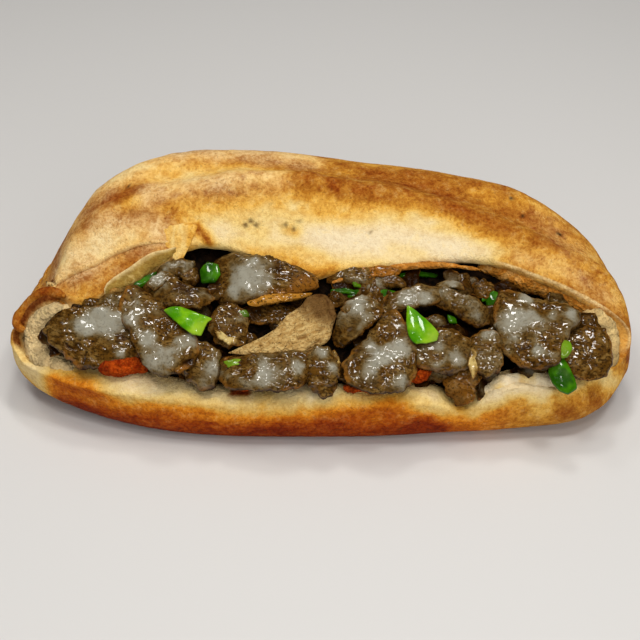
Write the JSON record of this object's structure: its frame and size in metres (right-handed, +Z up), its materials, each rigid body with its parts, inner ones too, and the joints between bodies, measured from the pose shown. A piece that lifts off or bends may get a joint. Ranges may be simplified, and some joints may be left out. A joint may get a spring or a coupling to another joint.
{
  "type": "stromboli",
  "caption": "Baked dough pocket, open along its front, filled with sliced steak, melted cheese and green pepper.",
  "frame": {"origin": "centre of the footprint, on the surface it rests on", "axes": "+X along the loaf to its right end, +Y to its closed back, +Z up; the open mouth faces -Y"},
  "size_m": [0.2376, 0.1332, 0.0743],
  "materials": {
    "bread": "matte baked crust, golden with browned patches",
    "filling_core": "dark moist chopped filling",
    "steak": "moist grey-brown cooked beef",
    "melted_cheese": "glossy melted white cheese over beef",
    "green_pepper": "glossy cooked green pepper skin",
    "toasted_slice": "dry tan crumbly slice"
  },
  "bodies": {
    "root": {"bread": "bread", "filling_core": "filling_core", "steak_left_end": "steak", "steak_left_back": "steak", "steak_upper_curl": "steak", "steak_rear_left": "steak", "steak_small_left": "steak", "steak_lower_left": "steak", "steak_lower_mid": "steak", "steak_shade_mid": "steak", "steak_low_small": "steak", "steak_mid_curl": "steak", "steak_rear_mid": "steak", "steak_strand": "steak", "steak_mid_right": "steak", "steak_bent_strip": "steak", "steak_in_notch": "steak", "steak_upright": "steak", "steak_right_end": "steak", "steak_red_left": "steak", "steak_red_right": "steak", "cheese_left": "melted_cheese", "cheese_centre": "melted_cheese", "cheese_mid_right": "melted_cheese", "cheese_rear_mid": "melted_cheese", "cheese_right": "melted_cheese", "pepper_left": "green_pepper", "pepper_dark_left": "green_pepper", "pepper_rear_left": "green_pepper", "pepper_centre": "green_pepper", "pepper_rear_mid": "green_pepper", "pepper_dark_right": "green_pepper", "pepper_right": "green_pepper", "slice_tan": "toasted_slice"}
  },
  "joints": []
}
